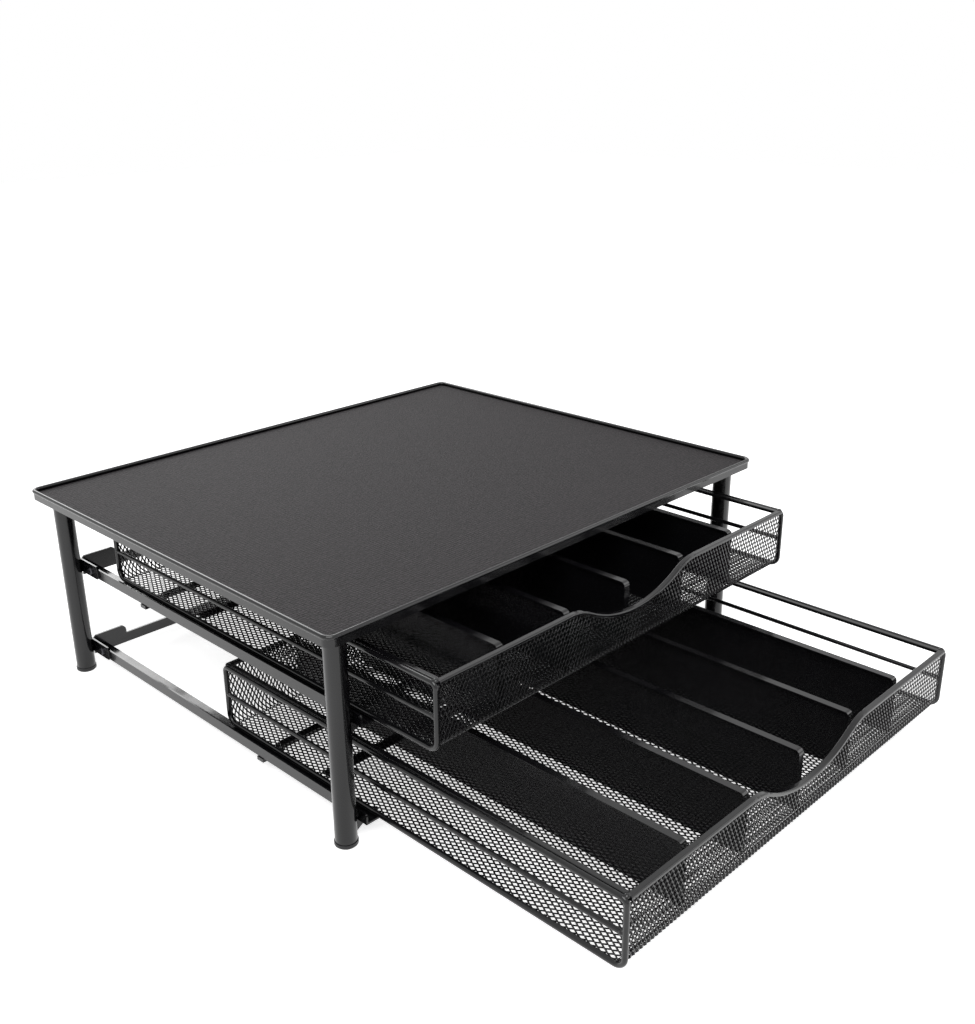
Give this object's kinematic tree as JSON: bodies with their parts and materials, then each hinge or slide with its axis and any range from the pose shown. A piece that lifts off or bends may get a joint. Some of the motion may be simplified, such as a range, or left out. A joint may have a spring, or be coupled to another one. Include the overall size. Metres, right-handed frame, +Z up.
{
  "type": "coffee pod drawer",
  "caption": "Low black steel rack with a recessed top platform and sliding wire-mesh drawers, divided into columns for coffee pods.",
  "frame": {"origin": "on the floor, under the middle of the whole part as it stands at rest, with both drawers partly out", "axes": "+Z up; -Y is the front, the way the drawers pull out; +X to the right seen from the front"},
  "size_m": [0.39, 0.495, 0.139],
  "materials": {
    "black_coat": "satin black powder coat",
    "grey_rail": "satin dark grey coat",
    "mat_rubber": "matte, fine grain",
    "cap_plastic": "matte",
    "screw_steel": "dark zinc"
  },
  "bodies": {
    "rack": {"top_rim": "black_coat", "top_plate": "black_coat", "top_mat": "mat_rubber", "leg_plugs": "black_coat", "leg_front_left": "black_coat", "foot_cap_front_left": "cap_plastic", "leg_front_right": "black_coat", "foot_cap_front_right": "cap_plastic", "leg_rear_left": "black_coat", "foot_cap_rear_left": "cap_plastic", "leg_rear_right": "black_coat", "foot_cap_rear_right": "cap_plastic", "upper_rail_left": "grey_rail", "upper_rail_right": "grey_rail", "upper_rear_plate": "black_coat", "upper_rear_brackets": "black_coat", "upper_front_brackets": "black_coat", "upper_bracket_screws": "screw_steel", "lower_rail_left": "grey_rail", "lower_rail_right": "grey_rail", "lower_rear_plate": "black_coat", "lower_rear_brackets": "black_coat", "lower_front_brackets": "black_coat", "lower_bracket_screws": "screw_steel"},
    "upper_drawer": {"upper_drawer_wire_left": "black_coat", "upper_drawer_wire_right": "black_coat", "upper_drawer_mid_wire_left": "black_coat", "upper_drawer_mid_wire_right": "black_coat", "upper_drawer_strip_left": "black_coat", "upper_drawer_strip_right": "black_coat", "upper_drawer_front_rim": "black_coat", "upper_drawer_back_rim": "black_coat", "upper_drawer_floor_mesh": "black_coat", "upper_drawer_front_mesh": "black_coat", "upper_drawer_back_mesh": "black_coat", "upper_drawer_stop_bar": "black_coat", "upper_drawer_floor_brace": "black_coat", "upper_drawer_divider_1": "black_coat", "upper_drawer_divider_2": "black_coat", "upper_drawer_divider_3": "black_coat", "upper_drawer_divider_4": "black_coat", "upper_drawer_divider_5": "black_coat"},
    "lower_drawer": {"lower_drawer_wire_left": "black_coat", "lower_drawer_wire_right": "black_coat", "lower_drawer_mid_wire_left": "black_coat", "lower_drawer_mid_wire_right": "black_coat", "lower_drawer_strip_left": "black_coat", "lower_drawer_strip_right": "black_coat", "lower_drawer_front_rim": "black_coat", "lower_drawer_back_rim": "black_coat", "lower_drawer_floor_mesh": "black_coat", "lower_drawer_front_mesh": "black_coat", "lower_drawer_back_mesh": "black_coat", "lower_drawer_stop_bar": "black_coat", "lower_drawer_floor_brace": "black_coat", "lower_drawer_divider_1": "black_coat", "lower_drawer_divider_2": "black_coat", "lower_drawer_divider_3": "black_coat", "lower_drawer_divider_4": "black_coat", "lower_drawer_divider_5": "black_coat"}
  },
  "joints": [
    {"name": "upper_slide", "type": "slide", "parent": "rack", "child": "upper_drawer", "axis": [0, -1, 0], "range_m": [-0.0342, 0.2097]},
    {"name": "lower_slide", "type": "slide", "parent": "rack", "child": "lower_drawer", "axis": [0, -1, 0], "range_m": [-0.1573, 0.0866]}
  ]
}
